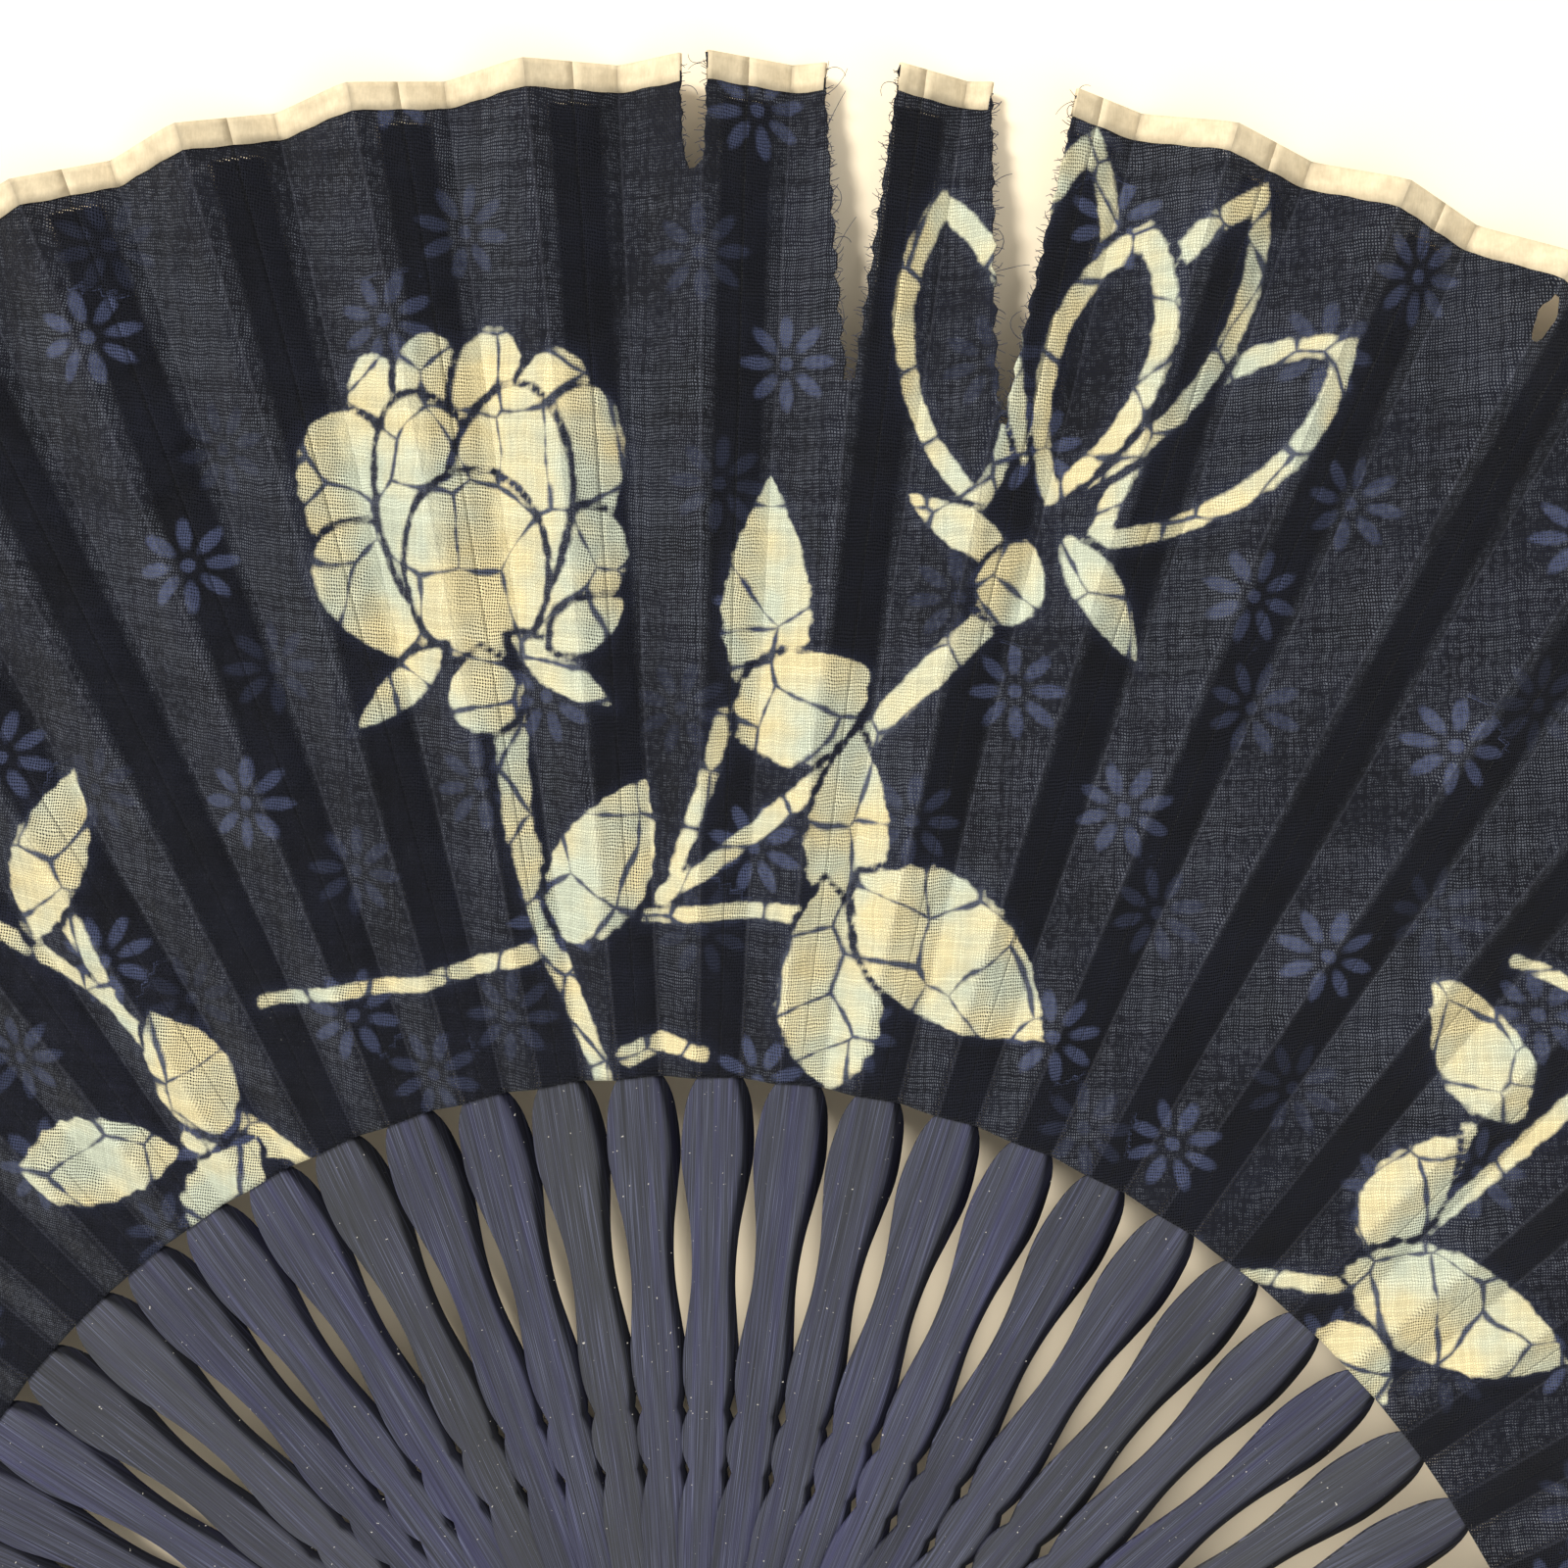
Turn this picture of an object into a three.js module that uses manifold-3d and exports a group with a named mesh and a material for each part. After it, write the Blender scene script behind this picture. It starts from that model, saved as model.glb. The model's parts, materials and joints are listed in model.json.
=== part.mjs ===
// A folding hand fan of bamboo sticks and a pleated cotton leaf, lying fully open.
// Millimetres, +Z up. The origin is the centre of the rivet's lower face. The fan spreads from
// there towards +Y, with the rear guard (the bottom one) on the left and the front guard (the top
// one) on the right. Everything is drawn in the fan's own frame, with the rivet along Z, and the
// last group leans that frame so that the open fan lies on its rivet and its outer edge.
import * as THREE from "three";
import Module from "manifold-3d";
import { mergeVertices } from "three/addons/utils/BufferGeometryUtils.js";

const wasm = await Module();
wasm.setup();

// ---------------------------------------------------------------- driving dimensions
const STICK_COUNT = 29; // two guards and the sticks between them
const STICK_PITCH = THREE.MathUtils.degToRad(5.15); // turn from one stick to the next, open
const STICK_THICKNESS = 0.5;
const RIB_THICKNESS = 0.3; // the thinned slip of the stick that carries the leaf
const RIB_WIDTH = 4.6;
const SLIDING_GAP = 0.1; // left between pieces that slide over each other
const GUARD_THICKNESS = 2.8;

const LEAF_INNER_RADIUS = 91.5;
const LEAF_OUTER_RADIUS = 195;
const LEAF_THICKNESS = 0.2;
const LEAF_SEAM = 0.2; // between one stretch of the leaf and the next
const PLEATS_PER_STRETCH = 2;
const INNER_PLEAT_HEIGHT = 0.9; // fold to fold, at the leaf's inner edge
const OUTER_PLEAT_HEIGHT = 5.5; // and at its outer edge
const PLEAT_CLEARANCE = 0.5; // lowest fold over the plane of its stick
const RADIAL_STEPS = 5;

const BINDING_WIDTH = 2.5; // how far the tape reaches in over the leaf, on each face
const BINDING_THICKNESS = 0.2;
const BINDING_FIT = 0.06; // air between tape and cloth, so that the two stay separate solids

const WAIST_RADIUS = 69; // narrowest place of a stick, where it starts to turn edge down
const HEAD_RADIUS = 91; // top of a stick's rounded head
const RIB_END_RADIUS = 191;

const SHANK_RADIUS = 1.2;
const HOLE_RADIUS = 1.6;
const WASHER_RADIUS = 4.2;
const WASHER_THICKNESS = 0.4;
const RIVET_HEAD_RADIUS = 3.6;
const RIVET_HEAD_HEIGHT = 1;

// Edge of a stick as [radius, full width], tail to head. It is smooth along each stretch and
// sharp where two stretches meet, at the carved notches.
const STICK_STRETCHES = [
  [[-11, 2.6], [-9.6, 5.4], [-6, 7], [0, 7.2], [20, 6.2], [40.5, 5.9], [46, 5.7], [50, 3.7]],
  [[50, 3.7], [51.5, 5.2], [53.5, 5.7], [55.2, 5.1], [56.6, 3.8]],
  [[56.6, 3.8], [59, 5.4], [62.5, 6], [65.6, 5.4], [69, 4.5], [75, 4.8], [81, 7.2], [86, 7.6], [89, 6.7], [91, 4.6]],
];
const GUARD_STRETCHES = [
  [[-12, 4], [-10.5, 7.4], [-6, 9], [0, 9.2], [30, 9], [60, 9.6], [91, 12]],
  [[91, 12], [140, 13.4], [192, 14], [197, 12], [199, 7]],
];

// ---------------------------------------------------------------- places that follow from them
const LAST = STICK_COUNT - 1;
const STICK_STEP = STICK_THICKNESS + SLIDING_GAP;
const REAR_GUARD_FLOOR = RIVET_HEAD_HEIGHT + SLIDING_GAP + WASHER_THICKNESS + SLIDING_GAP;
const REAR_GUARD_TOP = REAR_GUARD_FLOOR + GUARD_THICKNESS;
const FRONT_GUARD_FLOOR = stickFloor(LAST);
const FRONT_GUARD_TOP = FRONT_GUARD_FLOOR + GUARD_THICKNESS;
const LEAF_OVER_STICK = RIB_THICKNESS + SLIDING_GAP;
const BINDING_STANDOFF = BINDING_FIT + BINDING_THICKNESS; // how far the tape stands off the cloth

function stickFloor(index) {
  return REAR_GUARD_TOP + SLIDING_GAP + (index - 1) * STICK_STEP;
}

function stickAngle(index) {
  return (index - LAST / 2) * STICK_PITCH;
}

// Height from valley fold to mountain fold at a radius. Both folds are straight lines.
function pleatHeight(radius) {
  return THREE.MathUtils.mapLinear(
    radius, LEAF_INNER_RADIUS, LEAF_OUTER_RADIUS, INNER_PLEAT_HEIGHT, OUTER_PLEAT_HEIGHT,
  );
}

function halfPanelWidth(radius) {
  return radius * Math.sin(STICK_PITCH / 4);
}

// 0 up to the waist, 1 from the head outwards.
function headRamp(radius) {
  return THREE.MathUtils.clamp((radius - WAIST_RADIUS) / (HEAD_RADIUS - WAIST_RADIUS), 0, 1);
}

// How much a stick drops per millimetre to the right. Its rib lies along the leaf's panel.
function stickTilt(radius) {
  const onLeaf = Math.max(radius, HEAD_RADIUS);
  return headRamp(radius) * pleatHeight(onLeaf) / (2 * halfPanelWidth(onLeaf));
}

// How far the middle of a stick has risen over the plane it leaves the rivet in.
function stickLift(radius) {
  const onLeaf = Math.max(radius, HEAD_RADIUS);
  return headRamp(radius) * (PLEAT_CLEARANCE + pleatHeight(onLeaf) / 2);
}

// The front guard bows forward over the folded leaf.
function frontGuardLift(radius) {
  const onLeaf = Math.max(radius, HEAD_RADIUS);
  return headRamp(radius) * (2 * PLEAT_CLEARANCE + BINDING_STANDOFF + pleatHeight(onLeaf));
}

// ---------------------------------------------------------------- geometry helpers
// A closed solid from rings of points, each ring a closed loop that is joined to the next one.
// Rings stand upright, run anticlockwise seen from the far end, and start with a level-ish side.
function loft(rings) {
  const size = rings[0].length;
  const positions = rings.flat().flatMap((point) => [point.x, point.y, point.z]);
  const indices = [];
  for (let ring = 0; ring < rings.length - 1; ring += 1) {
    for (let corner = 0; corner < size; corner += 1) {
      const here = ring * size + corner;
      const next = ring * size + ((corner + 1) % size);
      indices.push(here, next, next + size, here, next + size, here + size);
    }
  }
  const outline = rings[0].map((point) => inRingPlane(rings[0], point));
  const lid = THREE.ShapeUtils.triangulateShape(outline, []);
  const end = (rings.length - 1) * size;
  for (const [a, b, c] of lid) {
    indices.push(a, c, b, end + a, end + b, end + c);
  }
  const geometry = new THREE.BufferGeometry();
  geometry.setAttribute("position", new THREE.Float32BufferAttribute(positions, 3));
  geometry.setIndex(indices);
  geometry.computeVertexNormals();
  return geometry;
}

// A ring's point in the ring's own plane, which stands upright.
function inRingPlane(ring, point) {
  const along = new THREE.Vector3().subVectors(ring[1], ring[0]).setZ(0).normalize();
  const offset = new THREE.Vector3().subVectors(point, ring[0]);
  return new THREE.Vector2(offset.dot(along), offset.z);
}

function toManifold(geometry) {
  const bare = geometry.clone();
  bare.deleteAttribute("normal");
  bare.deleteAttribute("uv");
  const merged = mergeVertices(bare, 1e-4);
  return new wasm.Manifold(new wasm.Mesh({
    numProp: 3,
    vertProperties: new Float32Array(merged.attributes.position.array),
    triVerts: new Uint32Array(merged.index.array),
  }));
}

function fromManifold(solid) {
  const mesh = solid.getMesh();
  const geometry = new THREE.BufferGeometry();
  geometry.setAttribute("position", new THREE.BufferAttribute(mesh.vertProperties, 3));
  geometry.setIndex(new THREE.BufferAttribute(mesh.triVerts, 1));
  geometry.computeVertexNormals();
  return geometry;
}

// A blade that lies along +Y: [radius, width] stations, a slab of the given thickness whose
// underside has its middle at floor(radius) and falls to the right by tilt(radius).
function blade(stations, floor, thickness, tilt) {
  return loft(stations.map(([radius, width]) => {
    const half = width / 2;
    const middle = floor(radius);
    const drop = half * tilt(radius);
    const depth = thickness(radius);
    return [
      new THREE.Vector3(half, radius, middle - drop),
      new THREE.Vector3(-half, radius, middle + drop),
      new THREE.Vector3(-half, radius, middle + drop + depth),
      new THREE.Vector3(half, radius, middle - drop + depth),
    ];
  }));
}

function smoothStations(stretches, stepsPerKnot) {
  const stations = [];
  for (const knots of stretches) {
    const curve = new THREE.SplineCurve(knots.map(([radius, width]) => new THREE.Vector2(radius, width)));
    const points = curve.getPoints((knots.length - 1) * stepsPerKnot);
    const fresh = stations.length ? points.slice(1) : points;
    stations.push(...fresh.map((point) => [point.x, point.y]));
  }
  return stations;
}

function radialStations(from, to) {
  return Array.from({ length: RADIAL_STEPS + 1 }, (_, step) => (
    THREE.MathUtils.lerp(from, to, step / RADIAL_STEPS)
  ));
}

function drillPivot(geometry, floor, thickness) {
  const drill = new THREE.CylinderGeometry(HOLE_RADIUS, HOLE_RADIUS, thickness + 2, 12);
  drill.rotateX(Math.PI / 2);
  drill.translate(0, 0, floor + thickness / 2);
  return fromManifold(toManifold(geometry).subtract(toManifold(drill)));
}

function turned(profile) {
  const points = profile.map(([radius, height]) => new THREE.Vector2(radius, height));
  const geometry = new THREE.LatheGeometry(points, 24);
  geometry.rotateX(Math.PI / 2);
  return fromManifold(toManifold(geometry));
}

// ---------------------------------------------------------------- materials
function bamboo(name) {
  return new THREE.MeshStandardMaterial({ name, color: 0x3b3d50, roughness: 0.55, metalness: 0 });
}

function indigoCotton() {
  return new THREE.MeshStandardMaterial({
    name: "indigo_cotton", color: 0x1d2030, roughness: 0.9, metalness: 0,
  });
}

function bindingTape() {
  return new THREE.MeshStandardMaterial({
    name: "binding_tape", color: 0xcfc6ac, roughness: 0.85, metalness: 0,
  });
}

function rivetBrass() {
  return new THREE.MeshStandardMaterial({
    name: "rivet_brass", color: 0xa08a55, roughness: 0.35, metalness: 1,
  });
}

// ---------------------------------------------------------------- sub-parts
function stick(index) {
  const floor = stickFloor(index);
  const carved = smoothStations(STICK_STRETCHES, 1);
  const rib = radialStations(HEAD_RADIUS + 1, RIB_END_RADIUS).map((radius) => [radius, RIB_WIDTH]);
  const geometry = blade(
    [...carved, ...rib],
    (radius) => floor + stickLift(radius),
    (radius) => (radius > HEAD_RADIUS ? RIB_THICKNESS : STICK_THICKNESS),
    stickTilt,
  );
  const mesh = new THREE.Mesh(drillPivot(geometry, floor, STICK_THICKNESS), bamboo("stick_bamboo"));
  mesh.name = `stick_${String(index).padStart(2, "0")}`;
  mesh.rotation.z = -stickAngle(index);
  return mesh;
}

function rearGuard() {
  const geometry = blade(
    smoothStations(GUARD_STRETCHES, 1),
    () => REAR_GUARD_FLOOR,
    () => GUARD_THICKNESS,
    () => 0,
  );
  const mesh = new THREE.Mesh(
    drillPivot(geometry, REAR_GUARD_FLOOR, GUARD_THICKNESS), bamboo("guard_bamboo"),
  );
  mesh.name = "rear_guard";
  mesh.rotation.z = -stickAngle(0);
  return mesh;
}

function frontGuard() {
  const geometry = blade(
    smoothStations(GUARD_STRETCHES, 2),
    (radius) => FRONT_GUARD_FLOOR + frontGuardLift(radius),
    () => GUARD_THICKNESS,
    () => 0,
  );
  const mesh = new THREE.Mesh(
    drillPivot(geometry, FRONT_GUARD_FLOOR, GUARD_THICKNESS), bamboo("guard_bamboo"),
  );
  mesh.name = "front_guard";
  mesh.rotation.z = -stickAngle(LAST);
  return mesh;
}

// The two folds that each stick carries: its mountain on the left and its valley on the right.
// The first panel lies flat on the rear guard, and the last one flat under the front guard.
function fold(index, isMountain) {
  const side = isMountain ? -1 : 1;
  const height = (radius) => {
    if (index === 0) {
      return REAR_GUARD_TOP + SLIDING_GAP + BINDING_STANDOFF;
    }
    if (index === LAST) {
      const guardFloor = FRONT_GUARD_FLOOR + frontGuardLift(radius);
      return guardFloor - SLIDING_GAP - BINDING_STANDOFF - LEAF_THICKNESS;
    }
    return stickFloor(index) + stickLift(radius) + LEAF_OVER_STICK - side * pleatHeight(radius) / 2;
  };
  return { angle: stickAngle(index) + side * STICK_PITCH / 4, height };
}

// Folds from one stick's mountain to the mountain two sticks on, with the last stretch going on
// under the front guard.
function foldsOfStretch(stretch) {
  const first = stretch * PLEATS_PER_STRETCH;
  const folds = [];
  for (let index = first; index < first + PLEATS_PER_STRETCH; index += 1) {
    folds.push(fold(index, true), fold(index, false));
  }
  folds.push(fold(first + PLEATS_PER_STRETCH, true));
  if (first + PLEATS_PER_STRETCH === LAST) {
    folds.push(fold(LAST, false));
  }
  return folds;
}

// Point on a fold, moved round by a length of arc so that neighbouring stretches don't touch.
function onFold(foldLine, radius, rise, shift) {
  const angle = foldLine.angle + shift / radius;
  return new THREE.Vector3(
    radius * Math.sin(angle), radius * Math.cos(angle), foldLine.height(radius) + rise,
  );
}

function seamShift(position, count) {
  if (position === 0) {
    return LEAF_SEAM / 2;
  }
  return position === count - 1 ? -LEAF_SEAM / 2 : 0;
}

function leafStretch(stretch) {
  const folds = foldsOfStretch(stretch);
  const radii = radialStations(LEAF_INNER_RADIUS, LEAF_OUTER_RADIUS);
  const rings = folds.map((foldLine, position) => {
    const shift = seamShift(position, folds.length);
    const under = radii.map((radius) => onFold(foldLine, radius, 0, shift));
    const over = radii.map((radius) => onFold(foldLine, radius, LEAF_THICKNESS, shift));
    return [...under, ...over.reverse()];
  });
  const mesh = new THREE.Mesh(loft(rings), indigoCotton());
  mesh.name = `leaf_${String(stretch + 1).padStart(2, "0")}`;
  return mesh;
}

// The tape is folded over the leaf's outer edge: a channel that is open towards the rivet.
function bindingStretch(stretch) {
  const folds = foldsOfStretch(stretch);
  const inner = LEAF_OUTER_RADIUS - BINDING_WIDTH;
  const slotEnd = LEAF_OUTER_RADIUS + BINDING_FIT;
  const outer = LEAF_OUTER_RADIUS + BINDING_STANDOFF;
  const slotFloor = -BINDING_FIT;
  const slotTop = LEAF_THICKNESS + BINDING_FIT;
  const channel = [
    [inner, -BINDING_STANDOFF],
    [outer, -BINDING_STANDOFF],
    [outer, LEAF_THICKNESS + BINDING_STANDOFF],
    [inner, LEAF_THICKNESS + BINDING_STANDOFF],
    [inner, slotTop],
    [slotEnd, slotTop],
    [slotEnd, slotFloor],
    [inner, slotFloor],
  ];
  const rings = folds.map((foldLine, position) => {
    const shift = seamShift(position, folds.length);
    return channel.map(([radius, rise]) => onFold(foldLine, radius, rise, shift));
  });
  const mesh = new THREE.Mesh(loft(rings), bindingTape());
  mesh.name = `binding_${String(stretch + 1).padStart(2, "0")}`;
  return mesh;
}

function washer(name, floor) {
  const top = floor + WASHER_THICKNESS;
  const mesh = new THREE.Mesh(turned([
    [HOLE_RADIUS, floor],
    [WASHER_RADIUS, floor],
    [WASHER_RADIUS, top],
    [HOLE_RADIUS, top],
    [HOLE_RADIUS, floor],
  ]), rivetBrass());
  mesh.name = name;
  return mesh;
}

// One pin with a flat lower head and an upper end that is spread over its washer.
function rivetPin() {
  const upperFloor = FRONT_GUARD_TOP + SLIDING_GAP + WASHER_THICKNESS + SLIDING_GAP;
  const top = upperFloor + RIVET_HEAD_HEIGHT;
  const mesh = new THREE.Mesh(turned([
    [0, 0],
    [RIVET_HEAD_RADIUS - 0.4, 0],
    [RIVET_HEAD_RADIUS, 0.4],
    [RIVET_HEAD_RADIUS, RIVET_HEAD_HEIGHT],
    [SHANK_RADIUS, RIVET_HEAD_HEIGHT],
    [SHANK_RADIUS, upperFloor],
    [RIVET_HEAD_RADIUS, upperFloor],
    [RIVET_HEAD_RADIUS, top - 0.4],
    [RIVET_HEAD_RADIUS - 0.8, top],
    [0, top],
  ]), rivetBrass());
  mesh.name = "rivet_pin";
  return mesh;
}

// ---------------------------------------------------------------- assembly
// The plane under the open fan touches the rivet's foot and the leaf's edge at the middle stick.
// It climbs to the right as the pile of sticks does, and climbs outwards from the rivet.
function supportNormal() {
  const rollSlope = STICK_STEP / (STICK_PITCH * LEAF_OUTER_RADIUS);
  const edgeFloor = fold(LAST / 2, false).height(LEAF_OUTER_RADIUS) - BINDING_STANDOFF;
  const pitchSlope = edgeFloor / LEAF_OUTER_RADIUS;
  return new THREE.Vector3(-rollSlope, -pitchSlope, 1).normalize();
}

const fan = new THREE.Group();
fan.quaternion.setFromUnitVectors(supportNormal(), new THREE.Vector3(0, 0, 1));
fan.add(
  rivetPin(),
  washer("rivet_lower_washer", RIVET_HEAD_HEIGHT + SLIDING_GAP),
  washer("rivet_upper_washer", FRONT_GUARD_TOP + SLIDING_GAP),
  rearGuard(),
  frontGuard(),
);
for (let index = 1; index < LAST; index += 1) {
  fan.add(stick(index));
}
for (let stretch = 0; stretch < LAST / PLEATS_PER_STRETCH; stretch += 1) {
  fan.add(leafStretch(stretch), bindingStretch(stretch));
}

const part = new THREE.Group();
part.add(fan);

export default part;
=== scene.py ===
"""Looks of the cloth hand fan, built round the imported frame.

Shapes are worked out in the fan's own plane, in millimetres: the rivet at the origin, +Y up the
middle stick, angles clockwise from +Y, heights above the fan's foot.  to_row() turns and scales
them into the row frame.
"""

import json
import math

import bpy
import numpy as np
from mathutils import Matrix, Vector


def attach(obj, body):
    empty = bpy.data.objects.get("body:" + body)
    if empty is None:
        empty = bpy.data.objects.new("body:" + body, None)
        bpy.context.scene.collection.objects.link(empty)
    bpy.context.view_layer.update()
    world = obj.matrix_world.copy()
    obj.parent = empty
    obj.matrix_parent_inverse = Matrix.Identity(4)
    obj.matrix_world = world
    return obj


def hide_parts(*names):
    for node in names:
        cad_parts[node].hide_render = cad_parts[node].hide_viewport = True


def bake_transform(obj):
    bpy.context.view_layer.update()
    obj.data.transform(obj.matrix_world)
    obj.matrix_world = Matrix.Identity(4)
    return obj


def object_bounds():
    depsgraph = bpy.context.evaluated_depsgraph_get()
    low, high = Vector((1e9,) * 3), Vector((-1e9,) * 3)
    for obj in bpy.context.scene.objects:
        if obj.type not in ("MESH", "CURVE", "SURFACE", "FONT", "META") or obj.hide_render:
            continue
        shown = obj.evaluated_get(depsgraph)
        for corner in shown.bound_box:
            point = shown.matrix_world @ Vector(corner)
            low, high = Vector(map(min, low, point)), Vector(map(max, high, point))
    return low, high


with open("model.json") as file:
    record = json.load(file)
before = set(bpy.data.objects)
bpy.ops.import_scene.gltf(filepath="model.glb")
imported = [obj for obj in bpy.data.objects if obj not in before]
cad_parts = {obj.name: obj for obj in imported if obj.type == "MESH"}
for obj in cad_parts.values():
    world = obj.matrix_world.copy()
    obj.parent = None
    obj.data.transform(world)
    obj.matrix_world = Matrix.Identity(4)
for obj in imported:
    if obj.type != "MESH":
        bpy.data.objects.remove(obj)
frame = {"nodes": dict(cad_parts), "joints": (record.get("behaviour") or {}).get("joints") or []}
CAD_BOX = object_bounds()

# ---------------------------------------------------------------- sizes read from the frame

MM = 0.001
FOLD_JOINT = frame["joints"][0]
FOLD_AXIS = Vector(FOLD_JOINT["axis"])
LEAN = np.array(Vector((0, 0, 1)).rotation_difference(FOLD_AXIS).to_matrix())
PITCH = math.radians(FOLD_JOINT["range_deg"][1])
GAPS = len(frame["joints"])
MIDDLE = GAPS / 2


def fan_points(node):
    """A CAD node's corners in the fan's plane, in millimetres."""
    corners = np.array([v.co for v in frame["nodes"][node].data.vertices], float)
    return corners @ LEAN / MM


def radii(node):
    """The nearest and furthest distance of a CAD node from the rivet's axis."""
    points = fan_points(node)
    reach = np.hypot(points[:, 0], points[:, 1])
    return reach.min(), reach.max()


def lowest(node):
    return fan_points(node)[:, 2].min()


def highest(node):
    return fan_points(node)[:, 2].max()


LEAF_INNER, LEAF_OUTER = radii("leaf_07")
BINDING_INNER, BINDING_OUTER = radii("binding_07")
FIRST_FLOOR = lowest("stick_01")
STICK_STEP = lowest("stick_02") - FIRST_FLOOR
REAR_FLOOR, REAR_TOP = lowest("rear_guard"), highest("rear_guard")
FRONT_FLOOR = FIRST_FLOOR + (GAPS - 1) * STICK_STEP
GUARD_THICKNESS = REAR_TOP - REAR_FLOOR
RIB_END = radii("stick_14")[1]

# ---------------------------------------------------------------- sizes of the fan's parts

STICK_THICKNESS = 0.5
RIB_THICKNESS = 0.26  # the slip of the stick that carries the leaf
RIB_WIDTH = 4.6
WAIST_RADIUS = 69  # where a stick starts to rise and turn towards its panel of the leaf
HEAD_RADIUS = 93  # top of a stick's rounded head
INNER_PLEAT = 0.9  # fold to fold in height, at the leaf's inner edge
OUTER_PLEAT = 5.5  # and at its outer edge
PLEAT_CLEARANCE = 0.5  # lowest fold over the plane of its stick
LEAF_OVER_STICK = 0.32  # leaf's underside over the underside of its stick
LEAF_OVER_HEAD = 0.6  # how far the leaf reaches down over the heads
LEAF_THICKNESS = 0.2
FLAT_STRETCH = 1.12  # width of the leaf pulled flat, for its width in pleats
BINDING_STANDOFF = 0.26  # room left for the tape between the leaf and a guard
TAPE_LAYER = 0.13
SLIDING_GAP = 0.1

# [distance from the rivet, width] along each smooth stretch; stretches meet in a notch
STICK_STRETCHES = [
    [[-11, 2.6], [-9.6, 5.4], [-6, 7], [0, 7.2], [20, 6.2], [40.5, 5.9], [46, 5.8], [50, 3.95]],
    [[50, 3.95], [51.5, 5.3], [53.5, 5.8], [55.2, 5.4], [56.6, 4.3]],
    [
        [56.6, 4.3], [59, 5.5], [62.5, 5.9], [66, 5.3], [70.5, 4.6],
        [76, 5.1], [80.2, 6.4], [84, 7.5], [88, 7.2], [90.4, 6.4], [92.1, 5.0], [93, 3.6],
    ],
]
GUARD_STRETCHES = [
    [[-12, 4], [-10.5, 7.4], [-6, 9], [0, 9.2], [30, 9], [60, 9.6], [93, 12]],
    [[93, 12], [140, 13.4], [192, 14], [197, 12], [199, 7]],
]


def pleat_height(r):
    along = (r - LEAF_INNER) / (LEAF_OUTER - LEAF_INNER)
    return INNER_PLEAT + (OUTER_PLEAT - INNER_PLEAT) * along


def head_ramp(r):
    return np.clip((r - WAIST_RADIUS) / (HEAD_RADIUS - WAIST_RADIUS), 0, 1)


def stick_tilt(r):
    """How far a stick's face drops for each millimetre to the right."""
    panel = 2 * r * math.sin(PITCH / 4)
    return head_ramp(r) * pleat_height(np.maximum(r, HEAD_RADIUS)) / np.maximum(panel, 1)


def stick_lift(r):
    return head_ramp(r) * (PLEAT_CLEARANCE + pleat_height(np.maximum(r, HEAD_RADIUS)) / 2)


def front_guard_lift(r):
    top = 2 * PLEAT_CLEARANCE + BINDING_STANDOFF + pleat_height(np.maximum(r, HEAD_RADIUS))
    return head_ramp(r) * top


def unbent(r):
    """No lift or no tilt, all along a guard."""
    return 0 * r


def stick_floor(k):
    return FIRST_FLOOR + (k - 1) * STICK_STEP


def stick_angle(k):
    return (k - MIDDLE) * PITCH


def body_name(k):
    if k == 0:
        return "rear_guard_body"
    if k == GAPS:
        return "front_guard_body"
    return f"stick_{k:02d}_body"


def to_row(points):
    """Points of the fan's plane, in millimetres, as points of the row frame, in metres."""
    return np.asarray(points, float) @ LEAN.T * MM


# ---------------------------------------------------------------- meshes


def make_mesh(name, points, faces, attributes, material):
    """A smooth-shaded object from fan-plane points; attributes are per-point vectors or numbers."""
    mesh = bpy.data.meshes.new(name)
    mesh.from_pydata(to_row(points).tolist(), [], faces)
    for key, values in attributes.items():
        values = np.asarray(values, np.float32)
        if values.ndim == 2:
            layer = mesh.attributes.new(key, "FLOAT_VECTOR", "POINT")
            layer.data.foreach_set("vector", values.ravel())
        else:
            layer = mesh.attributes.new(key, "FLOAT", "POINT")
            layer.data.foreach_set("value", values)
    mesh.materials.append(material)
    mesh.validate()
    mesh.shade_smooth()
    piece = bpy.data.objects.new(name, mesh)
    bpy.context.scene.collection.objects.link(piece)
    return piece


def grid_faces(rows, columns, keep):
    """Quads of a rows x columns grid of points, only where keep is true."""
    corner = np.arange(rows * columns).reshape(rows, columns)
    quads = np.stack(
        [corner[:-1, :-1], corner[:-1, 1:], corner[1:, 1:], corner[1:, :-1]], axis=-1
    )
    return quads[keep]


def without_loose(points, quads, attributes):
    """Drops the points that no face uses."""
    used, renumbered = np.unique(quads, return_inverse=True)
    faces = renumbered.reshape(quads.shape).tolist()
    return points[used], faces, {key: values[used] for key, values in attributes.items()}


def ring_faces(stations, around):
    """Faces of a closed tube of rings, with both ends capped."""
    corner = np.arange(stations * around).reshape(stations, around)
    beside = np.roll(corner, -1, axis=1)
    sides = np.stack([corner[:-1], beside[:-1], beside[1:], corner[1:]], axis=-1)
    caps = [corner[0, ::-1].tolist(), corner[-1].tolist()]
    return sides.reshape(-1, 4).tolist() + caps


def solidify(piece, thickness, offset=1.0):
    solid = piece.modifiers.new("thickness", "SOLIDIFY")
    solid.thickness = thickness * MM
    solid.offset = offset


# ---------------------------------------------------------------- shader graphs


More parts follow.
